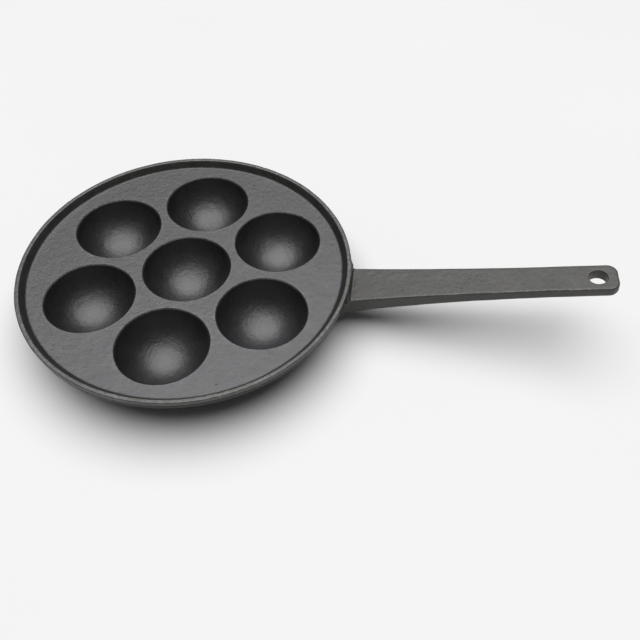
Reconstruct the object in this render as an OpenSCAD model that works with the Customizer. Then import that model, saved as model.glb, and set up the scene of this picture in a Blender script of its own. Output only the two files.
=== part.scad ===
// Cast iron pan with round wells for baking filled batter balls, with a long rising handle.
// Millimetres. The pan stands on z = 0 with its axis on Z, and the handle points along +X.

/* [Wells] */
// Width of each well at its mouth
well_mouth_d = 57.8; // [50:0.2:60]
// Depth of each well below the cooking face
well_depth = 25; // [20:0.5:27]
// Wall of each well
well_wall = 3.8; // [3:0.1:4]
// Flat land left between two neighbouring mouths
well_land = 7.2; // [7:0.2:14]
// How much is ground off each well's underside so that it stands level
foot_flat = 0.6; // [0.2:0.1:1.2]
// Bevel round each mouth
mouth_bevel = 0.6; // [0.2:0.1:1]

/* [Plate] */
// Thickness of the cooking plate
plate_t = 4; // [3:0.25:5]
// Flat land between the outer mouths and the rim
plate_margin = 9.1; // [8:0.1:20]

/* [Rim] */
// Height of the rim above the cooking face
rim_h = 5; // [4:0.25:9]
// Steepness of the rim's inner wall, in degrees
rim_slope = 58; // [45:1:75]
// Hollow fillet where the inner wall rises from the plate
rim_foot_r = 2; // [1:0.1:2.5]
// Round of the rim's inner top edge
rim_crest_r = 1; // [0.5:0.1:1.4]
// Width of the rim's top, outside the inner round
rim_top_w = 2.2; // [1.6:0.1:4]
// Round of the rim's outer top edge
rim_edge_r = 0.8; // [0.4:0.1:1.2]
// Depth of the rim's outer bead
bead_h = 2.6; // [1.6:0.1:3.4]
// How far the bead overhangs the wall below it
bead_step = 0.6; // [0.2:0.1:1]
// How far the upright outer face reaches below the cooking face
band_drop = 1.2; // [0.5:0.1:2.5]

/* [Skirt] */
// Lean of the skirt from upright, in degrees
skirt_lean = 34; // [20:1:36]
// Thickness of the skirt's wall
skirt_t = 3.5; // [2.5:0.1:4.5]
// Gap between the skirt's lower edge and what the pan stands on
skirt_gap = 2.4; // [1:0.1:8]

/* [Handle] */
// Length from the pan's wall to the tip, along the top face
handle_l = 167; // [130:1:220]
// Rise of the handle above level, in degrees
handle_rise = 9.7; // [4:0.1:18]
// How far below the cooking face the top face meets the wall
handle_drop = 2.6; // [1.4:0.1:5]
// Width where the root ends
root_w = 27.3; // [24:0.1:34]
// Depth where the root ends
root_t = 10.7; // [9:0.1:13]
// Length of the root
root_l = 20; // [16:0.5:30]
// Fillet between the handle's sides and the wall
root_fillet_r = 6; // [3:0.5:10]
// Extra depth of the root's underside at the wall
root_droop = 2.5; // [0:0.1:4]
// Width of the hanging end
eye_w = 21; // [19:0.1:24]
// Depth of the hanging end
eye_t = 7.5; // [6:0.1:9]
// Length of the hanging end
eye_l = 24; // [20:0.5:30]
// Corner rounds of the tip
tip_r = 6.5; // [3:0.1:8]
// Round along the handle's top edges
top_edge_r = 1.2; // [0.5:0.1:1.6]
// Round along the handle's lower edges
low_edge_r = 2.6; // [1:0.1:3]

/* [Hanging hole] */
// Width of the hole
hole_d = 11.5; // [8:0.1:13]
// Distance from the hole's centre to the tip
hole_inset = 12; // [11:0.1:14]

/* [Hidden] */
$fn = 96;
arc_steps = 6;
shank_steps = 6;
corner_steps = 4;
slack = 1;
ring_start = 30;
ring_step = 60;
cook_grey = [0.30, 0.30, 0.31];
skirt_grey = [0.24, 0.24, 0.24];
handle_grey = [0.27, 0.26, 0.25];

// each well is part of a sphere whose centre lies a little above the cooking face
mouth_r = well_mouth_d / 2;
bowl_r = (mouth_r * mouth_r + well_depth * well_depth) / (2 * well_depth);
bowl_rise = bowl_r - well_depth;
pitch_r = well_mouth_d + well_land;
plate_z = well_depth + well_wall - foot_flat;
plate_under_z = plate_z - plate_t;

// the rim's inner wall: a hollow fillet, a straight slope and a rounded crest
flat_r = pitch_r + mouth_r + plate_margin;
slope_l = (rim_h - (rim_foot_r + rim_crest_r) * (1 - cos(rim_slope))) / sin(rim_slope);
crest_x = flat_r + (rim_foot_r + rim_crest_r) * sin(rim_slope) + slope_l * cos(rim_slope);
pan_r = crest_x + rim_top_w;
wall_r = pan_r - bead_step;
band_z = plate_z - band_drop;
function skirt_r(z) = wall_r - (band_z - z) * tan(skirt_lean);
skirt_t_level = skirt_t / cos(skirt_lean);

// the handle's own frame starts where its top face meets the wall
handle_z = plate_z - handle_drop;
shank_l = handle_l - root_l - eye_l;
fillet_y = half_w(0) + root_fillet_r;
fillet_x = sqrt(pow(wall_r + root_fillet_r, 2) - fillet_y * fillet_y) - wall_r;
fillet_end_x = (fillet_x + wall_r) * wall_r / (wall_r + root_fillet_r) - wall_r;
root_in_x = -(pan_r - skirt_r(0));
function taper(x) = x > handle_l - eye_l ? 0 : pow(1 - (max(x, 0) - root_l) / shank_l, 2);
function half_w(x) = (eye_w + (root_w - eye_w) * taper(x)) / 2;
function droop(x) = x > root_l ? 0 : root_droop * pow(1 - max(x, 0) / root_l, 2);
function depth(x) = eye_t + (root_t - eye_t) * taper(x) + droop(x);
function flare(x) = x > fillet_x ? half_w(x)
    : fillet_y - sqrt(max(0, pow(root_fillet_r, 2) - pow(max(x, fillet_end_x) - fillet_x, 2)));

function arc(c, r, a0, a1, steps) =
    [for (i = [0:steps]) c + r * [cos(a0 + (a1 - a0) * i / steps), sin(a0 + (a1 - a0) * i / steps)]];
function ring_place(i) = pitch_r * [cos(ring_start + ring_step * i), sin(ring_start + ring_step * i)];

// the handle's cross-section, seen along it: a flat top with small rounds and fuller rounds below
function section(half, deep) = concat(
    arc([half - top_edge_r, -top_edge_r], top_edge_r, 90, 0, corner_steps),
    arc([half - low_edge_r, low_edge_r - deep], low_edge_r, 0, -90, corner_steps),
    arc([low_edge_r - half, low_edge_r - deep], low_edge_r, -90, -180, corner_steps),
    arc([top_edge_r - half, -top_edge_r], top_edge_r, 180, 90, corner_steps));

module bowl(wall) {
    translate([0, 0, plate_z + bowl_rise])
        sphere(r = bowl_r + wall);
}

module mouth() {
    bowl(0);
    translate([0, 0, plate_z - mouth_bevel])
        cylinder(h = mouth_bevel + slack, r1 = mouth_r, r2 = mouth_r + mouth_bevel + slack);
}

module well(place) {
    color(cook_grey)
        translate([place.x, place.y, 0])
            difference() {
                intersection() {
                    bowl(well_wall);
                    cylinder(h = plate_under_z, r = bowl_r + well_wall + slack);
                }
                bowl(0);
            }
}

module cooking_plate() {
    color(cook_grey)
        difference() {
            translate([0, 0, plate_under_z])
                cylinder(h = plate_t, r = flat_r);
            mouth();
            for (i = [0:5])
                translate([ring_place(i).x, ring_place(i).y, 0])
                    mouth();
        }
}

module rim() {
    color(skirt_grey)
        translate([0, 0, plate_z])
            rotate_extrude()
                polygon(concat(
                    [[flat_r, -plate_t]],
                    arc([flat_r, rim_foot_r], rim_foot_r, -90, rim_slope - 90, arc_steps),
                    arc([crest_x, rim_h - rim_crest_r], rim_crest_r, 90 + rim_slope, 90, arc_steps),
                    arc([pan_r - rim_edge_r, rim_h - rim_edge_r], rim_edge_r, 90, 0, arc_steps),
                    [[pan_r, rim_h - bead_h],
                     [wall_r, rim_h - bead_h - bead_step],
                     [wall_r, -band_drop],
                     [skirt_r(plate_under_z), -plate_t]]));
}

module skirt() {
    color(skirt_grey)
        rotate_extrude()
            polygon([
                [skirt_r(plate_under_z), plate_under_z],
                [skirt_r(skirt_gap), skirt_gap],
                [skirt_r(skirt_gap) - skirt_t_level, skirt_gap],
                [skirt_r(plate_under_z) - skirt_t_level, plate_under_z]]);
}

// everything inside the pan's outer wall, with the skirt's slope carried on to the floor
module inside_of_wall() {
    rotate_extrude()
        polygon([
            [0, 0],
            [skirt_r(0), 0],
            [wall_r, band_z],
            [wall_r, plate_z + rim_h - bead_h - bead_step],
            [pan_r, plate_z + rim_h - bead_h],
            [pan_r, plate_z + rim_h + slack],
            [0, plate_z + rim_h + slack]]);
}

module on_handle() {
    translate([wall_r, 0, handle_z])
        rotate([0, -handle_rise, 0])
            children();
}

// a bar whose cross-section follows the handle's width and depth at each station along it
module bar(stations) {
    rings = [for (x = stations) [for (p = section(flare(x), depth(x))) [x, p.x, p.y]]];
    n = len(rings[0]);
    last = len(rings) - 1;
    polyhedron(
        points = [for (ring = rings) for (p = ring) p],
        faces = concat(
            [[for (k = [0:n - 1]) k]],
            [for (j = [0:last - 1]) for (k = [0:n - 1])
                [j * n + k, (j + 1) * n + k, (j + 1) * n + (k + 1) % n]],
            [for (j = [0:last - 1]) for (k = [0:n - 1])
                [j * n + k, (j + 1) * n + (k + 1) % n, j * n + (k + 1) % n]],
            [[for (k = [n - 1:-1:0]) last * n + k]]));
}

module handle_root() {
    sweep = fillet_x - fillet_end_x;
    color(handle_grey)
        difference() {
            on_handle()
                bar(concat(
                    [root_in_x],
                    [for (i = [0:arc_steps]) fillet_end_x + sweep * (1 - pow(1 - i / arc_steps, 2))],
                    [root_l]));
            inside_of_wall();
        }
}

module handle_shank() {
    color(handle_grey)
        on_handle()
            bar([for (i = [0:shank_steps]) root_l + shank_l * i / shank_steps]);
}

// the tip's outline, cut square where it meets the shank and rounded at both far corners
module tip_outline() {
    translate([handle_l - eye_l - slack, -eye_w, 0])
        cube([eye_l + slack - tip_r, 2 * eye_w, 2 * eye_t]);
    translate([handle_l - tip_r - slack, tip_r - eye_w / 2, 0])
        cube([tip_r + slack, eye_w - 2 * tip_r, 2 * eye_t]);
    for (side = [-1, 1])
        translate([handle_l - tip_r, side * (eye_w / 2 - tip_r), 0])
            cylinder(h = 2 * eye_t, r = tip_r);
}

module hanging_eye() {
    color(handle_grey)
        on_handle()
            difference() {
                intersection() {
                    bar([handle_l - eye_l, handle_l]);
                    translate([0, 0, -eye_t - slack])
                        tip_outline();
                }
                translate([handle_l - hole_inset, 0, -eye_t - slack])
                    cylinder(h = eye_t + 2 * slack, d = hole_d);
            }
}

cooking_plate();
rim();
skirt();
well([0, 0]);  // well_centre
well(ring_place(0));  // well_rear_right
well(ring_place(1));  // well_rear
well(ring_place(2));  // well_rear_left
well(ring_place(3));  // well_front_left
well(ring_place(4));  // well_front
well(ring_place(5));  // well_front_right
handle_root();
handle_shank();
hanging_eye();
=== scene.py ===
import math

import bpy
import numpy as np
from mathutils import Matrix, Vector, noise
from mathutils.geometry import delaunay_2d_cdt


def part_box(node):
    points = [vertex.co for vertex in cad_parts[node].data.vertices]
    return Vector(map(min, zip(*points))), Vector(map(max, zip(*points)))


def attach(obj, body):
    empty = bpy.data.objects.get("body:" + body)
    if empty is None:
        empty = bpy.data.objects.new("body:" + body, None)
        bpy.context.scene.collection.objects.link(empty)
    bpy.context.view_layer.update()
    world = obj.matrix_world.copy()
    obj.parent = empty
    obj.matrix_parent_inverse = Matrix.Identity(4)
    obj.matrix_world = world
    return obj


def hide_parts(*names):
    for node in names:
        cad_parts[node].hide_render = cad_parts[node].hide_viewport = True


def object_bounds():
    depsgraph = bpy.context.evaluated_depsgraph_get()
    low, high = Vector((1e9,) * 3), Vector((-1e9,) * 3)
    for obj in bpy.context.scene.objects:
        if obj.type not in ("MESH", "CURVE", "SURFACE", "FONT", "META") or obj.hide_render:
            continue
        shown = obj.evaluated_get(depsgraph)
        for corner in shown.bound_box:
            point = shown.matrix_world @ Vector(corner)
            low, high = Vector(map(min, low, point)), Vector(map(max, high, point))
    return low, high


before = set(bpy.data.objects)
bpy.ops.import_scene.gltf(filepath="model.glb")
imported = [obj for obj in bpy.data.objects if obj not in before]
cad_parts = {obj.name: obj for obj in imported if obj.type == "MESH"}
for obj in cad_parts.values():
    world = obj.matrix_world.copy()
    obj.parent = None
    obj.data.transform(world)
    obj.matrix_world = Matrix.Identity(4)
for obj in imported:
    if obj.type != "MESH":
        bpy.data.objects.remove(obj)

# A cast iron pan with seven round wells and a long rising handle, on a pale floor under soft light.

cad_low, cad_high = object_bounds()
MM = 0.001

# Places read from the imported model
PLATE_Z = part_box("cooking_plate")[1].z
PLATE_UNDER_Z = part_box("cooking_plate")[0].z
FLAT_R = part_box("cooking_plate")[1].x
PAN_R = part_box("rim")[1].x
RIM_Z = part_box("rim")[1].z
SKIRT_LOW_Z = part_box("skirt")[0].z
WELLS = ("well_centre", "well_rear_right", "well_rear", "well_rear_left", "well_front_left",
         "well_front", "well_front_right")

# Cast skin: long swells and short lumps
SWELL_SIZE = 14 * MM
SWELL_H = 0.045 * MM
HANDLE_SWELL_H = 0.09 * MM
LUMP_SIZE = 5 * MM
LUMP_H = 0.025 * MM
SHARP_ANGLE = math.radians(55)

# Iron
IRON_IOR = 1.9
GLEAM = 0.5
# Painted shade: how far the reflection is turned down on faces marked as sheltered
PAINTED_SHADE_DULLS = 0.34
GRAIN_DEPTH = 0.00032

# Flat faces, filled by rows of points that keep clear of the borders by a share of the step
ROW_SHARE = 0.87
CLEAR_SHARE = 0.55
PLATE_GRID = 1.9 * MM
PLATE_SEGMENTS = 420
HANDLE_TOP_GRID = 1.05 * MM
HANDLE_LOW_GRID = 2.2 * MM

# Wells
MOUTH_R = 28.9 * MM
WELL_DEPTH = 25 * MM
WELL_WALL = 3.8 * MM
WELL_ROOT_DROP = 1.2 * MM
MOUTH_ROUND = 0.7 * MM
BOWL_R = (MOUTH_R ** 2 + WELL_DEPTH ** 2) / (2 * WELL_DEPTH)
BOWL_RISE = BOWL_R - WELL_DEPTH
WELL_TOP_R = MOUTH_R + MOUTH_ROUND
WELL_ROOT_R = 32.4 * MM
WELL_SEGMENTS = 120

# Rim and skirt
RIM_SLOPE = math.radians(58)
RIM_FOOT_R = 2.0 * MM
RIM_CREST_R = 1.1 * MM
RIM_EDGE_R = 0.8 * MM
RIM_GRID = 0.7 * MM
RIM_SEGMENTS = 640
BEAD_H = 2.6 * MM
BEAD_STEP = 0.6 * MM
BAND_DROP = 1.2 * MM
UNDERCUT = 0.15 * MM
RAGGED_H = 0.5 * MM
RAGGED_SHARE = 0.0022
NICK_H = 0.5 * MM
SKIRT_LEAN = math.radians(34)
SKIRT_T = 3.5 * MM
SKIRT_EDGE_R = 1.4 * MM
SKIRT_GRID = 1.6 * MM
SKIRT_SEGMENTS = 360

# Handle, in its own frame: x along its top face from the wall, y across, z out of the top face
HANDLE_L = 167 * MM
HANDLE_RISE = math.radians(9.7)
HANDLE_DROP = 2.6 * MM
HANDLE_INNER_X = -4 * MM
ROOT_W = 27.3 * MM
ROOT_T = 10.7 * MM
ROOT_L = 20 * MM
ROOT_FILLET_R = 6 * MM
ROOT_DROOP = 2.5 * MM
CREASE_R = 2.6 * MM
EYE_W = 21 * MM
EYE_T = 7.5 * MM
EYE_L = 24 * MM
TIP_R = 6.5 * MM
TOP_EDGE_R = 1.2 * MM
LOW_EDGE_R = 2.6 * MM
HOLE_R = 5.75 * MM
HOLE_EDGE_R = 0.35 * MM
HOLE_TO_TIP = 12 * MM
HOLE_X = HANDLE_L - HOLE_TO_TIP
HOLE_SEGMENTS = 56
WALL_R = PAN_R - BEAD_STEP
HANDLE_Z = PLATE_Z - HANDLE_DROP
SHANK_L = HANDLE_L - ROOT_L - EYE_L
OUTLINE_STEP = 1.2 * MM
FILLET_WIDTH_X = 4 * MM

# Where the handle's edges start to be rounded, and where its root follows the leaning wall
EDGE_FROM_X = -1.8 * MM
EDGE_FADE_L = 4 * MM
HUG_FROM_X = 12 * MM
HUG_L = 13.8 * MM
HUG_LEAN = 0.72

# Light
SURROUND = 0.07
BACKDROP = 0.88

# Camera
LENS = 39.6
CAMERA_AZIMUTH = math.radians(6.56)
CAMERA_ELEVATION = math.radians(50.78)
CAMERA_DISTANCE = 0.442
CAMERA_TARGET = Vector((0.0936, -0.0345, PLATE_Z))


def lumps(points, size, seed):
    """Smooth noise from about -1 to 1 at each point, with features of the given size."""
    shift = Vector((seed * 3.1, seed * 1.7, seed * 2.3))
    return np.array([noise.noise(Vector(p) / size + shift) for p in points]) * 1.6


def turned_out(points, faces):
    """The faces of a closed mesh, turned so that they look outwards."""
    fans = np.array([(f[0], f[k], f[k + 1]) for f in faces for k in range(1, len(f) - 1)])
    a, b, c = points[fans[:, 0]], points[fans[:, 1]], points[fans[:, 2]]
    volume = np.sum(a * np.cross(b, c))
    return faces if volume > 0 else [tuple(reversed(f)) for f in faces]


def make_piece(name, points, faces, wear, material, replaces, swell=SWELL_H, painted_shade=0.0):
    """One mesh with a cast surface: long swells and short lumps, the same at shared borders.

    Wear marks where edges are rubbed light. The other mask is painted shade: it turns down the
    reflection on sheltered faces, under the bead, on the skirt and under the handle.
    """
    points = np.array(points, float)
    faces = turned_out(points, faces)
    shift = [swell * lumps(points, SWELL_SIZE, k) + LUMP_H * lumps(points, LUMP_SIZE, k + 3)
             for k in range(3)]
    points = np.clip(points + np.stack(shift, axis=1), np.array(cad_low), np.array(cad_high))
    mesh = bpy.data.meshes.new(name)
    mesh.from_pydata(points.tolist(), [], faces)
    mesh.polygons.foreach_set("use_smooth", [True] * len(mesh.polygons))
    for layer_name, values in (("wear", wear), ("painted_shade", painted_shade)):
        layer = mesh.attributes.new(layer_name, "FLOAT", "POINT")
        layer.data.foreach_set("value", np.clip(np.zeros(len(points)) + values, 0, 1))
    mesh.materials.append(material)
    mesh.update()
    mesh.set_sharp_from_angle(angle=SHARP_ANGLE)
    piece = bpy.data.objects.new(name, mesh)
    bpy.context.scene.collection.objects.link(piece)
    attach(piece, "root")
    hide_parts(*replaces)
    return piece


def arc(cx, cz, r, start, end, steps):
    """Points of an arc as (radius, height) pairs, with angles in degrees."""
    angles = np.radians(np.linspace(start, end, steps + 1))
    return [(cx + r * math.cos(a), cz + r * math.sin(a)) for a in angles]


def circle(cx, cy, r, count):
    """Evenly spaced points round a circle."""
    angles = np.linspace(0, 2 * math.pi, count, endpoint=False)
    return [(cx + r * math.cos(a), cy + r * math.sin(a)) for a in angles]


def refine(profile, step):
    """Splits an outline so that no stretch is longer than the step."""
    out = []
    for (x0, z0), (x1, z1) in zip(profile, profile[1:]):
        n = max(1, math.ceil(math.hypot(x1 - x0, z1 - z0) / step))
        out += [(x0 + (x1 - x0) * i / n, z0 + (z1 - z0) * i / n) for i in range(n)]
    return out + [profile[-1]]


def revolve_ring(profile, segments):
    """A ring from a closed outline that stays off the axis."""
    angles = np.linspace(0, 2 * math.pi, segments, endpoint=False)
    rows = len(profile)
    points = [(r * math.cos(a), r * math.sin(a), z) for a in angles for r, z in profile]
    faces = []
    for s in range(segments):
        t = (s + 1) % segments
        for k in range(rows):
            j = (k + 1) % rows
            faces.append((s * rows + k, t * rows + k, t * rows + j, s * rows + j))
    return points, faces


def revolve_cup(profile, segments):
    """A closed form from an outline that starts and ends on the axis."""
    angles = np.linspace(0, 2 * math.pi, segments, endpoint=False)
    body = profile[1:-1]
    rows = len(body)
    points = [(r * math.cos(a), r * math.sin(a), z) for a in angles for r, z in body]
    first, last = len(points), len(points) + 1
    points += [(0, 0, profile[0][1]), (0, 0, profile[-1][1])]
    faces = []
    for s in range(segments):
        t = (s + 1) % segments
        faces.append((first, s * rows, t * rows))
        faces.append((last, t * rows + rows - 1, s * rows + rows - 1))
        for k in range(rows - 1):
            faces.append((s * rows + k, s * rows + k + 1, t * rows + k + 1, t * rows + k))
    return points, faces


def inside(polygon, points):
    """Which points lie inside a closed outline."""
    x, y = points[:, 0], points[:, 1]
    hit = np.zeros(len(points), bool)
    for (x0, y0), (x1, y1) in zip(polygon, np.roll(polygon, -1, axis=0)):
        crosses = (y0 > y) != (y1 > y)
        with np.errstate(divide="ignore", invalid="ignore"):
            at = x0 + (y - y0) * (x1 - x0) / (y1 - y0)
        hit ^= crosses & (x < at)
    return hit


def in_material(loops, points):
    """Which points lie inside the outer loop and outside every hole."""
    keep = inside(loops[0], points)
    for hole in loops[1:]:
        keep &= ~inside(hole, points)
    return keep


def inner_grid(loops, border, step):
    """Staggered points that fill the area between the loops and keep clear of them."""
    low, high = loops[0].min(0), loops[0].max(0)
    rows = np.arange(low[1] + step / 2, high[1], step * ROW_SHARE)
    grid = np.array([(x + (j % 2) * step / 2, y) for j, y in enumerate(rows)
                     for x in np.arange(low[0] + step / 2, high[0], step)])
    grid = grid[in_material(loops, grid)]
    clear = np.array([np.min(np.hypot(*(border - g).T)) > step * CLEAR_SHARE for g in grid])
    return [tuple(g) for g in grid[clear]]


def fill(outline, holes, step):
    """Fills an outline with holes by even triangles.

    Returns the points, the triangles and the numbers of each loop's points.
    """
    loops = [np.array(outline)] + [np.array(h) for h in holes]
    points = [tuple(p) for loop in loops for p in loop]
    edges, places, start = [], [], 0
    for loop in loops:
        n = len(loop)
        edges += [(start + i, start + (i + 1) % n) for i in range(n)]
        places.append(list(range(start, start + n)))
        start += n
    points += inner_grid(loops, np.array(points), step)
    made, _, tris, origins, _, _ = delaunay_2d_cdt([Vector(p) for p in points], edges, [], 0, 1e-9)
    index = []
    for spot, origin in zip(made, origins):
        if not origin:
            points.append(tuple(spot))
        index.append(origin[0] if origin else len(points) - 1)
    tris = [tuple(index[i] for i in t) for t in tris]
    flat = np.array(points)
    good = in_material(loops, np.array([flat[list(t)].mean(0) for t in tris]))
    return flat, [t for t, g in zip(tris, good) if g], places


def well_place(name):
    """The centre of a well, seen from above."""
    low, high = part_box(name)
    return (low.x + high.x) / 2, (low.y + high.y) / 2


def make_plate(material):
    """The flat web between the wells, top and underside."""
    holes = [circle(*well_place(n), WELL_TOP_R, WELL_SEGMENTS) for n in WELLS]
    flat, tris, places = fill(circle(0, 0, FLAT_R, PLATE_SEGMENTS), holes, PLATE_GRID)
    count = len(flat)
    points = [(x, y, PLATE_Z) for x, y in flat] + [(x, y, PLATE_UNDER_Z) for x, y in flat]
    faces = [t for t in tris] + [tuple(i + count for i in reversed(t)) for t in tris]
    for loop_number, loop in enumerate(places):
        n = len(loop)
        for i in range(n):
            a, b = loop[i], loop[(i + 1) % n]
            outer = (a, a + count, b + count, b)
            faces.append(outer if loop_number == 0 else (a, b, b + count, a + count))
    near_edge = np.min([np.abs(np.hypot(flat[:, 0] - x, flat[:, 1] - y) - WELL_TOP_R)
                        for x, y in map(well_place, WELLS)], axis=0)
    wear = 0.6 * np.exp(-near_edge / (1.2 * MM))
    wear = np.concatenate([wear, wear * 0])
    return make_piece("cooking_plate_cast", points, faces, wear, material,
                      ["cooking_plate"])


def well_profile():
    """Half a well's section, from the bottom of the bowl over the mouth to the ground flat.

    Also returns how many of its points belong to the bowl and its rounded mouth.
    """
    centre_z = PLATE_Z + BOWL_RISE
    round_z = PLATE_Z - MOUTH_ROUND
    mouth_angle = math.degrees(math.asin((round_z - centre_z) / BOWL_R))
    inner = arc(0, centre_z, BOWL_R, -90, mouth_angle, 40)
    edge = [(WELL_TOP_R - (WELL_TOP_R - inner[-1][0]) * (1 - math.sin(t)),
             PLATE_Z - MOUTH_ROUND * (1 - math.cos(math.pi / 2 - t)))
            for t in np.linspace(0, math.pi / 2, 7)[1:]]
    outer_r = BOWL_R + WELL_WALL
    root_z = PLATE_UNDER_Z - WELL_ROOT_DROP
    outer_top = math.degrees(math.asin((root_z - centre_z) / outer_r))
    foot_r = math.sqrt(outer_r ** 2 - centre_z ** 2)
    foot_angle = math.degrees(math.asin(-centre_z / outer_r))
    outer = arc(0, centre_z, outer_r, outer_top, foot_angle, 36)
    below = [(WELL_TOP_R, PLATE_UNDER_Z), (WELL_ROOT_R, PLATE_UNDER_Z)] + outer
    return inner + edge + below + [(foot_r * 0.6, 0), (0, 0)], len(inner + edge)


def make_well(name, material):
    """One round bowl with its rounded mouth and small ground flat."""
    x, y = well_place(name)
    profile, rounded = well_profile()
    points, faces = revolve_cup(profile, WELL_SEGMENTS)
    points = [(px + x, py + y, pz) for px, py, pz in points]
    rows = len(profile) - 2
    one = np.array([max(0, 1 - abs(k + 1 - (rounded - 3)) / 4) for k in range(rows)]) * 0.9
    one[rows - 3:] = 0.5
    wear = np.concatenate([np.tile(one, WELL_SEGMENTS), [0.1, 0.5]])
    return make_piece(name + "_cast", points, faces, wear, material, [name])


def rim_crest_x():
    """The radius at which the rim's inner slope meets its crest."""
    rounds = RIM_FOOT_R + RIM_CREST_R
    slope_l = (RIM_Z - PLATE_Z - rounds * (1 - math.cos(RIM_SLOPE))) / math.sin(RIM_SLOPE)
    return FLAT_R + rounds * math.sin(RIM_SLOPE) + slope_l * math.cos(RIM_SLOPE)


def rim_profile(crest_x, under_bead):
    """The rim's section: foot, slope, crest, bead, undercut and upright outer face."""
    slope = math.degrees(RIM_SLOPE)
    band_z = PLATE_Z - BAND_DROP
    skirt_top_r = WALL_R - (band_z - PLATE_UNDER_Z) * math.tan(SKIRT_LEAN)
    profile = arc(FLAT_R, PLATE_Z + RIM_FOOT_R, RIM_FOOT_R, -90, slope - 90, 6)
    profile += arc(crest_x, RIM_Z - RIM_CREST_R, RIM_CREST_R, 90 + slope, 90, 6)
    profile += arc(PAN_R - RIM_EDGE_R, RIM_Z - RIM_EDGE_R, RIM_EDGE_R, 90, 0, 5)
    profile += [(PAN_R, under_bead + 0.3 * MM), (PAN_R - 0.25 * MM, under_bead - 0.1 * MM),
                (WALL_R - UNDERCUT, under_bead - 0.25 * MM), (WALL_R, under_bead - 0.9 * MM),
                (WALL_R, band_z + 0.5 * MM), (WALL_R - UNDERCUT, band_z - 0.1 * MM),
                (skirt_top_r, PLATE_UNDER_Z), (FLAT_R, PLATE_UNDER_Z), (FLAT_R, PLATE_Z)]
    return refine(profile, RIM_GRID)[:-1]


def roughen_bead(points, undercut, edge):
    """Makes the undercut below the bead ragged and nicks the rim's outer edge."""
    points = np.array(points)
    ragged = np.tile(undercut, RIM_SEGMENTS)
    points[:, 2] += RAGGED_H * ragged * lumps(points, 1.6 * MM, 5)
    points[:, 0] *= 1 - RAGGED_SHARE * ragged * np.clip(lumps(points, 2.6 * MM, 6), 0, 1)
    points[:, 1] *= 1 - RAGGED_SHARE * ragged * np.clip(lumps(points, 2.6 * MM, 6), 0, 1)
    nicks = np.tile(edge, RIM_SEGMENTS) * np.clip(lumps(points, 3.0 * MM, 7) - 0.45, 0, 1)
    points[:, 2] -= NICK_H * nicks
    return points


def make_rim(material):
    """The raised lip with its bead and the upright face below it."""
    crest_x = rim_crest_x()
    under_bead = RIM_Z - BEAD_H
    profile = rim_profile(crest_x, under_bead)
    points, faces = revolve_ring(profile, RIM_SEGMENTS)
    r = np.array([p[0] for p in profile])
    h = np.array([p[1] for p in profile])
    crest = np.exp(-np.hypot(r - crest_x, h - RIM_Z) / (0.8 * MM))
    edge = np.exp(-np.hypot(r - PAN_R + 0.3 * MM, h - RIM_Z + 0.3 * MM) / (0.8 * MM))
    lip = np.exp(-np.hypot(r - PAN_R, h - under_bead) / (0.5 * MM))
    undercut = np.exp(-np.hypot(r - WALL_R, h - under_bead) / (0.7 * MM))
    sheltered = (h < under_bead + 0.2 * MM) & (r > WALL_R - 3 * MM)
    wear = np.tile(np.clip(crest + edge + 0.5 * lip, 0, 1), RIM_SEGMENTS)
    # Painted shade: faces below the bead reflect less, so the undercut and upright face look shaded
    painted_shade = np.tile(np.where(sheltered, 0.95, 0.0), RIM_SEGMENTS)
    points = roughen_bead(points, undercut, edge)
    return make_piece("rim_cast", points, faces, wear, material, ["rim"], painted_shade=painted_shade)


def make_skirt(material):
    """The wall that leans inwards below the rim."""
    band_z = PLATE_Z - BAND_DROP
    lean = math.tan(SKIRT_LEAN)
    top_r = WALL_R - (band_z - PLATE_UNDER_Z) * lean
    low_r = WALL_R - (band_z - SKIRT_LOW_Z) * lean
    level_t = SKIRT_T / math.cos(SKIRT_LEAN)
    low_inner_r = low_r - level_t
    e = SKIRT_EDGE_R
    profile = [(top_r, PLATE_UNDER_Z), (low_r + e * lean, SKIRT_LOW_Z + e),
               (low_r - 0.15 * e, SKIRT_LOW_Z + 0.25 * e), (low_r - 0.7 * e, SKIRT_LOW_Z),
               (low_inner_r + 0.7 * e, SKIRT_LOW_Z), (low_inner_r + 0.1 * e, SKIRT_LOW_Z + 0.3 * e),
               (low_inner_r + e * lean, SKIRT_LOW_Z + e), (top_r - level_t, PLATE_UNDER_Z),
               (top_r, PLATE_UNDER_Z)]
    profile = refine(profile, SKIRT_GRID)[:-1]
    points, faces = revolve_ring(profile, SKIRT_SEGMENTS)
    h = np.array([p[1] for p in profile])
    wear = np.tile(0.35 * np.exp(-(h - SKIRT_LOW_Z) / (1.0 * MM)), SKIRT_SEGMENTS)
    # Painted shade: the whole skirt reflects less, as it lies in the rim's shade
    return make_piece("skirt_cast", points, faces, wear, material, ["skirt"], painted_shade=0.7)


def taper(x):
    """How wide and thick the handle still is: 1 where the root ends and 0 at the eye."""
    return 0.0 if x > HANDLE_L - EYE_L else (1 - (max(x, 0.0) - ROOT_L) / SHANK_L) ** 2


def half_width(x):
    """Half the handle's width, which narrows from the root to the eye."""
    return (EYE_W + (ROOT_W - EYE_W) * taper(x)) / 2


def thickness(x):
    """The handle's thickness, which also grows downwards where the root meets the wall."""
    droop = 0.0 if x > ROOT_L else ROOT_DROOP * (1 - max(x, 0.0) / ROOT_L) ** 2
    return EYE_T + (ROOT_T - EYE_T) * taper(x) + droop


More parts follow.
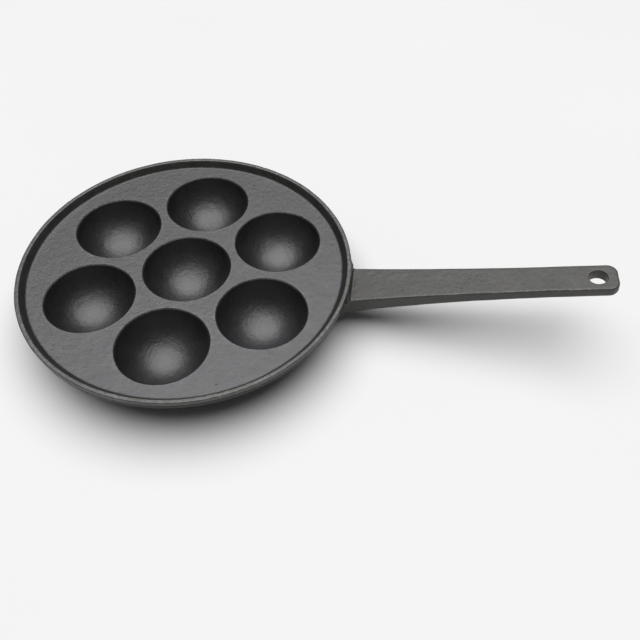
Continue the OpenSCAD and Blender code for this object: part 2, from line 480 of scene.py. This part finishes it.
def handle_outline():
    """The handle's plan, from the wall round the tip and back, with fillets where it leaves the wall."""
    fillet_y = half_width(FILLET_WIDTH_X) + ROOT_FILLET_R
    fillet_x = math.sqrt((WALL_R + ROOT_FILLET_R) ** 2 - fillet_y ** 2) - WALL_R
    fillet_end = (fillet_x + WALL_R) * WALL_R / (WALL_R + ROOT_FILLET_R) - WALL_R
    start_angle = math.acos(max(-1, (fillet_end - fillet_x) / ROOT_FILLET_R))
    widest = fillet_y - ROOT_FILLET_R * math.sin(start_angle)
    side = [(x, widest) for x in np.arange(HANDLE_INNER_X, fillet_end - 0.5 * MM, OUTLINE_STEP)]
    for a in np.linspace(start_angle, math.pi / 2, 9):
        side.append((fillet_x + ROOT_FILLET_R * math.cos(a), fillet_y - ROOT_FILLET_R * math.sin(a)))
    first = side[-1][0]
    last = HANDLE_L - TIP_R
    side += [(x, half_width(x)) for x in np.linspace(first, last, 112)[1:]]
    corner = arc(last, EYE_W / 2 - TIP_R, TIP_R, 90, 0, 12)[1:]
    side += corner
    other_side = [(x, -y) for x, y in reversed(side)]
    tip = [(HANDLE_L, y) for y in np.linspace(corner[-1][1], -corner[-1][1], 8)[1:-1]]
    closing = [(HANDLE_INNER_X, y) for y in np.linspace(-widest, widest, 28)[1:-1]]
    return np.array((side + tip + other_side + closing)[::-1])


def inset(loop, distance):
    """Moves each point of an anticlockwise loop inwards, fading to nothing where it enters the wall."""
    ahead = np.roll(loop, -1, axis=0) - loop
    back = loop - np.roll(loop, 1, axis=0)
    ahead /= np.linalg.norm(ahead, axis=1, keepdims=True)
    back /= np.linalg.norm(back, axis=1, keepdims=True)
    along = ahead + back
    along /= np.linalg.norm(along, axis=1, keepdims=True)
    spread = 1 / np.maximum(np.sum(along * ahead, axis=1), 0.6)
    inward = np.stack([-along[:, 1], along[:, 0]], axis=1)
    fade = np.clip((loop[:, 0] - EDGE_FROM_X) / EDGE_FADE_L, 0, 1)
    return loop + inward * (distance * spread * fade)[:, None]


class Shell:
    """Points, faces and wear of a piece that grows ring by ring."""

    def __init__(self):
        self.points, self.faces, self.wear = [], [], []

    def add(self, flat, heights, wear=0.0):
        """Adds points and returns their numbers."""
        first = len(self.points)
        self.points += [(x, y, z) for (x, y), z in zip(flat, heights)]
        self.wear += [wear] * len(flat)
        return list(range(first, len(self.points)))

    def bridge(self, rings, inwards=False):
        """Joins each ring to the next by a band of faces that look outwards, or into a bore."""
        for upper, lower in zip(rings, rings[1:]):
            if inwards:
                upper, lower = lower, upper
            n = len(upper)
            self.faces += [(upper[i], lower[i], lower[(i + 1) % n], upper[(i + 1) % n])
                           for i in range(n)]


def add_handle_faces(shell, outline, hole):
    """Adds the handle's top and bottom faces and returns the border loops of each."""
    centre = np.array([HOLE_X, 0])
    mouth = centre + hole * (HOLE_R + HOLE_EDGE_R)
    top_flat, top_tris, top_loops = fill(inset(outline, TOP_EDGE_R), [mouth], HANDLE_TOP_GRID)
    low_flat, low_tris, low_loops = fill(inset(outline, LOW_EDGE_R), [mouth], HANDLE_LOW_GRID)
    shell.add(top_flat, np.zeros(len(top_flat)))
    start = len(shell.points)
    shell.add(low_flat, [-thickness(x) for x in low_flat[:, 0]])
    shell.faces += list(top_tris)
    shell.faces += [tuple(i + start for i in reversed(t)) for t in low_tris]
    return top_loops, [[i + start for i in loop] for loop in low_loops]


def add_handle_sides(shell, outline, top_loop, low_loop):
    """Adds the rounded upper edge, the side and the rounder lower edge."""
    deep = np.array([thickness(x) for x in outline[:, 0]])
    rings = [top_loop]
    for a in np.radians([68, 45, 22, 0]):
        ring = inset(outline, TOP_EDGE_R * (1 - math.cos(a)) if a else 0.0)
        heights = np.full(len(outline), -TOP_EDGE_R * (1 - math.sin(a)))
        rings.append(shell.add(ring, heights, 0.8 * math.sin(a)))
    for share in (0.25, 0.5, 0.75):
        heights = -TOP_EDGE_R - share * (deep - TOP_EDGE_R - LOW_EDGE_R)
        rings.append(shell.add(outline, heights))
    for a in np.radians([0, 18, 36, 54, 72]):
        ring = inset(outline, LOW_EDGE_R * (1 - math.cos(a)))
        rings.append(shell.add(ring, -deep + LOW_EDGE_R * (1 - math.sin(a)), 0.25))
    shell.bridge(rings + [low_loop])


def add_handle_bore(shell, hole, top_loop, low_loop):
    """Adds the hanging hole's wall with its slightly rounded edges."""
    centre = np.array([HOLE_X, 0])
    rings = [top_loop]
    for a in np.radians([60, 30, 0]):
        r = HOLE_R + HOLE_EDGE_R * (1 - math.cos(a))
        heights = np.full(HOLE_SEGMENTS, -HOLE_EDGE_R * (1 - math.sin(a)))
        rings.append(shell.add(centre + hole * r, heights, 1.0))
    for share in (0.2, 0.4, 0.6, 0.8):
        rings.append(shell.add(centre + hole * HOLE_R, np.full(HOLE_SEGMENTS, -EYE_T * share), 0.3))
    for a in np.radians([0, 30, 60]):
        r = HOLE_R + HOLE_EDGE_R * (1 - math.cos(a))
        heights = np.full(HOLE_SEGMENTS, -EYE_T + HOLE_EDGE_R * (1 - math.sin(a)))
        rings.append(shell.add(centre + hole * r, heights, 0.5))
    shell.bridge(rings + [low_loop], inwards=True)


def fit_to_wall(local):
    """Raises the top face in a small crease fillet and lets the root follow the leaning wall."""
    near = np.clip(1 - local[:, 0] / CREASE_R, 0, 1)
    on_top = local[:, 2] > -1.05 * TOP_EDGE_R
    local[:, 2] += CREASE_R * (1 - np.sqrt(1 - near ** 2)) * on_top
    hug = np.clip((HUG_FROM_X - local[:, 0]) / HUG_L, 0, 1)
    local[:, 0] += HUG_LEAN * local[:, 2] * hug
    return local


def make_handle(material):
    """The whole handle as one bar: root, shank and hanging eye."""
    shell = Shell()
    outline = handle_outline()
    hole = np.array(circle(HOLE_X, 0, 1.0, HOLE_SEGMENTS)) - np.array([HOLE_X, 0])
    top_loops, low_loops = add_handle_faces(shell, outline, hole)
    add_handle_sides(shell, outline, top_loops[0], low_loops[0])
    add_handle_bore(shell, hole, top_loops[1], low_loops[1])
    local = np.array(shell.points)
    # Painted shade: the handle's sides and underside reflect less
    painted_shade = np.where(local[:, 2] < -0.8 * TOP_EDGE_R, 0.4, 0.0)
    local = fit_to_wall(local)
    c, s = math.cos(HANDLE_RISE), math.sin(HANDLE_RISE)
    placed = np.stack([WALL_R + local[:, 0] * c - local[:, 2] * s, local[:, 1],
                       HANDLE_Z + local[:, 0] * s + local[:, 2] * c], axis=1)
    return make_piece("handle_cast", placed, shell.faces, np.array(shell.wear),
                      material, ["handle_root", "handle_shank", "hanging_eye"],
                      swell=HANDLE_SWELL_H, painted_shade=painted_shade)


def set_socket(tree, socket, value):
    """Links a socket to another node's output, or sets its value."""
    if isinstance(value, bpy.types.NodeSocket):
        tree.links.new(value, socket)
    else:
        socket.default_value = value


def add_node(tree, kind, **inputs):
    """Adds a shader node and sets its sockets by name."""
    made = tree.nodes.new(kind)
    for key, value in inputs.items():
        set_socket(tree, made.inputs[key.replace("_", " ")], value)
    return made


def ramp(tree, fac, stops):
    """A colour ramp through the given places, each with a colour or a grey."""
    made = tree.nodes.new("ShaderNodeValToRGB")
    tree.links.new(fac, made.inputs["Fac"])
    elements = made.color_ramp.elements
    while len(elements) < len(stops):
        elements.new(0.5)
    for element, (place, colour) in zip(elements, stops):
        element.position = place
        element.color = (*colour, 1) if isinstance(colour, tuple) else (colour, colour, colour, 1)
    return made.outputs["Color"]


def mix_colours(tree, kind, fac, a, b):
    """Mixes two colours."""
    made = tree.nodes.new("ShaderNodeMix")
    made.data_type = "RGBA"
    made.blend_type = kind
    for key, value in ((0, fac), (6, a), (7, b)):
        set_socket(tree, made.inputs[key], value)
    return made.outputs[2]


def calc(tree, kind, a, b=0.0, clamp=False):
    """One step of arithmetic between two values."""
    made = tree.nodes.new("ShaderNodeMath")
    made.operation = kind
    made.use_clamp = clamp
    for key, value in ((0, a), (1, b)):
        set_socket(tree, made.inputs[key], value)
    return made.outputs[0]


def noise_map(tree, place, scale, detail, roughness=0.5):
    """A noise texture's value at the given place."""
    made = add_node(tree, "ShaderNodeTexNoise", Vector=place, Scale=scale, Detail=detail,
                    Roughness=roughness)
    return made.outputs["Fac"]


def mesh_mask(tree, name):
    """A value stored on the mesh's points."""
    made = tree.nodes.new("ShaderNodeAttribute")
    made.attribute_name = name
    return made.outputs["Fac"]


def pit_heights(tree, place):
    """Small scattered pits: 1 on the surface and 0 at their bottoms."""
    cells = add_node(tree, "ShaderNodeTexVoronoi", Vector=place, Scale=190.0, Randomness=1.0)
    pits = ramp(tree, cells.outputs["Distance"], [(0.0, 0.0), (0.10, 0.25), (0.17, 1.0)])
    where = ramp(tree, noise_map(tree, place, 45.0, 1.0), [(0.57, 1.0), (0.65, 0.0)])
    return calc(tree, "MAXIMUM", pits, where)


def mottled_colour(tree, place, mottle, pits, dark, light):
    """The iron's colour: mottled, drifting slowly, speckled, and darker in the pits."""
    base = ramp(tree, mottle, [(0.30, dark), (0.72, light)])
    drift = ramp(tree, noise_map(tree, place, 16.0, 3.0), [(0.32, 0.86), (0.70, 1.12)])
    base = mix_colours(tree, "MULTIPLY", 1.0, base, drift)
    dots = ramp(tree, noise_map(tree, place, 900.0, 3.0, 0.6), [(0.40, 0.80), (0.62, 1.15)])
    base = mix_colours(tree, "MULTIPLY", 0.6, base, dots)
    return mix_colours(tree, "MULTIPLY", 0.5, base, pits)


def worn_mask(tree, place, amount):
    """Where edges are rubbed light, broken up finely and in long stretches."""
    fine = ramp(tree, noise_map(tree, place, 420.0, 5.0, 0.7), [(0.44, 0.0), (0.60, 1.0)])
    wide = ramp(tree, noise_map(tree, place, 38.0, 2.0), [(0.36, 0.25), (0.62, 1.0)])
    mask = calc(tree, "MULTIPLY", mesh_mask(tree, "wear"), fine)
    mask = calc(tree, "MULTIPLY", mask, wide)
    return calc(tree, "MULTIPLY", mask, amount, clamp=True)


def cast_grain(tree, place, pits, strength, size):
    """Sand grain in two sizes, and the pits, as a bumped normal."""
    fine = noise_map(tree, place, 1.0 / size, 4.0, 0.55)
    coarse = noise_map(tree, place, 0.3 / size, 2.0)
    height = calc(tree, "ADD", fine, calc(tree, "MULTIPLY", coarse, 1.6))
    height = calc(tree, "ADD", height, calc(tree, "MULTIPLY", pits, 1.3))
    bump = add_node(tree, "ShaderNodeBump", Height=height, Strength=strength, Distance=GRAIN_DEPTH)
    return bump.outputs["Normal"]


def cast_iron(name, dark, light, worn, rough, grain, grain_size, wear_amount, glint):
    """Seasoned sand-cast iron: mottled colour, fine grain, small pits, lighter worn edges, and painted
    shade on sheltered faces.
    """
    material = bpy.data.materials.new(name)
    material.use_nodes = True
    tree = material.node_tree
    tree.nodes.clear()
    place = tree.nodes.new("ShaderNodeTexCoord").outputs["Object"]
    mottle = noise_map(tree, place, 70.0, 6.0, 0.62)
    pits = pit_heights(tree, place)
    rubbed = worn_mask(tree, place, wear_amount)
    colour = mottled_colour(tree, place, mottle, pits, dark, light)
    colour = mix_colours(tree, "MIX", rubbed, colour, (*worn, 1))
    roughness = ramp(tree, mottle, [(0.25, rough[0]), (0.75, rough[1])])
    roughness = calc(tree, "SUBTRACT", roughness, calc(tree, "MULTIPLY", rubbed, 0.12))
    # Painted shade: the reflection is turned down where the mesh marks sheltered faces
    dulled = calc(tree, "MULTIPLY", mesh_mask(tree, "painted_shade"), PAINTED_SHADE_DULLS)
    gleam = calc(tree, "SUBTRACT", GLEAM, dulled)
    shader = add_node(tree, "ShaderNodeBsdfPrincipled", Base_Color=colour, Roughness=roughness,
                      Specular_IOR_Level=gleam, IOR=IRON_IOR, Specular_Tint=(*glint, 1),
                      Normal=cast_grain(tree, place, pits, grain, grain_size))
    out = tree.nodes.new("ShaderNodeOutputMaterial")
    tree.links.new(shader.outputs["BSDF"], out.inputs["Surface"])
    return material


def make_floor():
    """A wide pale floor that keeps the pan's soft shadow."""
    half = 4.0
    corners = [(-half, -half, 0), (half, -half, 0), (half, half, 0), (-half, half, 0)]
    mesh = bpy.data.meshes.new("floor")
    mesh.from_pydata(corners, [], [(0, 1, 2, 3)])
    floor = bpy.data.objects.new("floor", mesh)
    bpy.context.scene.collection.objects.link(floor)
    material = bpy.data.materials.new("pale_floor")
    material.use_nodes = True
    tree = material.node_tree
    shader = tree.nodes["Principled BSDF"]
    place = tree.nodes.new("ShaderNodeTexCoord").outputs["Object"]
    tone = ramp(tree, noise_map(tree, place, 3.0, 2.0),
                [(0.3, (0.87, 0.87, 0.873)), (0.7, (0.885, 0.885, 0.888))])
    tree.links.new(tone, shader.inputs["Base Color"])
    shader.inputs["Roughness"].default_value = 0.8
    shader.inputs["Specular IOR Level"].default_value = 0.2
    mesh.materials.append(material)


def make_sun(name, azimuth, elevation, spread, strength):
    """A wide, far light. Its spread in degrees sets how soft the shadows are."""
    data = bpy.data.lights.new(name, "SUN")
    data.energy = strength
    data.angle = math.radians(spread)
    lamp = bpy.data.objects.new(name, data)
    azimuth, elevation = math.radians(azimuth), math.radians(elevation)
    towards = Vector((math.cos(azimuth) * math.cos(elevation),
                      math.sin(azimuth) * math.cos(elevation), math.sin(elevation)))
    lamp.location = towards * 2
    lamp.rotation_mode = "QUATERNION"
    lamp.rotation_quaternion = towards.to_track_quat("Z", "Y")
    bpy.context.scene.collection.objects.link(lamp)


def make_lighting():
    """A large soft light overhead, a little behind and to the left, and a dim surround.

    The camera sees the surround as a pale backdrop.
    """
    make_sun("overhead", azimuth=105, elevation=78, spread=76, strength=3.1)
    world = bpy.data.worlds.new("studio")
    world.use_nodes = True
    tree = world.node_tree
    seen = tree.nodes.new("ShaderNodeLightPath").outputs["Is Camera Ray"]
    surround = tree.nodes["Background"]
    surround.inputs["Color"].default_value = (1, 1, 1, 1)
    surround.inputs["Strength"].default_value = SURROUND
    backdrop = tree.nodes.new("ShaderNodeBackground")
    backdrop.inputs["Color"].default_value = (BACKDROP, BACKDROP, BACKDROP, 1)
    backdrop.inputs["Strength"].default_value = 1.0
    pick = tree.nodes.new("ShaderNodeMixShader")
    tree.links.new(seen, pick.inputs[0])
    tree.links.new(surround.outputs[0], pick.inputs[1])
    tree.links.new(backdrop.outputs[0], pick.inputs[2])
    tree.links.new(pick.outputs[0], tree.nodes["World Output"].inputs["Surface"])
    bpy.context.scene.world = world


def make_camera():
    """The photo's view: from in front, a little to the right, looking down at the plate."""
    data = bpy.data.cameras.new("camera")
    data.lens = LENS
    data.sensor_width = 36
    data.clip_start, data.clip_end = 0.01, 50
    back = Vector((math.sin(CAMERA_AZIMUTH) * math.cos(CAMERA_ELEVATION),
                   -math.cos(CAMERA_AZIMUTH) * math.cos(CAMERA_ELEVATION),
                   math.sin(CAMERA_ELEVATION)))
    camera = bpy.data.objects.new("camera", data)
    camera.location = CAMERA_TARGET + back * CAMERA_DISTANCE
    camera.rotation_mode = "QUATERNION"
    camera.rotation_quaternion = back.to_track_quat("Z", "Y")
    bpy.context.scene.collection.objects.link(camera)
    bpy.context.scene.camera = camera


bpy.context.scene.view_settings.view_transform = "Standard"
make_camera()
make_lighting()
make_floor()

cooking = cast_iron("seasoned_cooking_iron", dark=(0.007, 0.007, 0.008),
                    light=(0.015, 0.015, 0.0168), worn=(0.10, 0.10, 0.10), rough=(0.37, 0.49),
                    grain=0.44, grain_size=0.0010, wear_amount=0.7, glint=(0.98, 0.98, 1.0))
rim_finish = cast_iron("rim_iron", dark=(0.007, 0.007, 0.0068),
                       light=(0.015, 0.0147, 0.014), worn=(0.11, 0.108, 0.104), rough=(0.40, 0.52),
                       grain=0.5, grain_size=0.0010, wear_amount=0.9, glint=(0.96, 0.955, 0.94))
outer = cast_iron("outer_iron", dark=(0.007, 0.007, 0.0065),
                  light=(0.014, 0.0135, 0.0125), worn=(0.08, 0.08, 0.075), rough=(0.46, 0.60),
                  grain=0.55, grain_size=0.0012, wear_amount=0.6, glint=(0.85, 0.84, 0.81))
grip = cast_iron("handle_iron", dark=(0.008, 0.0077, 0.0065),
                 light=(0.018, 0.017, 0.0145), worn=(0.12, 0.115, 0.10), rough=(0.42, 0.56),
                 grain=0.50, grain_size=0.0011, wear_amount=0.9, glint=(0.92, 0.912, 0.885))

make_plate(cooking)
for well in WELLS:
    make_well(well, cooking)
make_rim(rim_finish)
make_skirt(outer)
make_handle(grip)
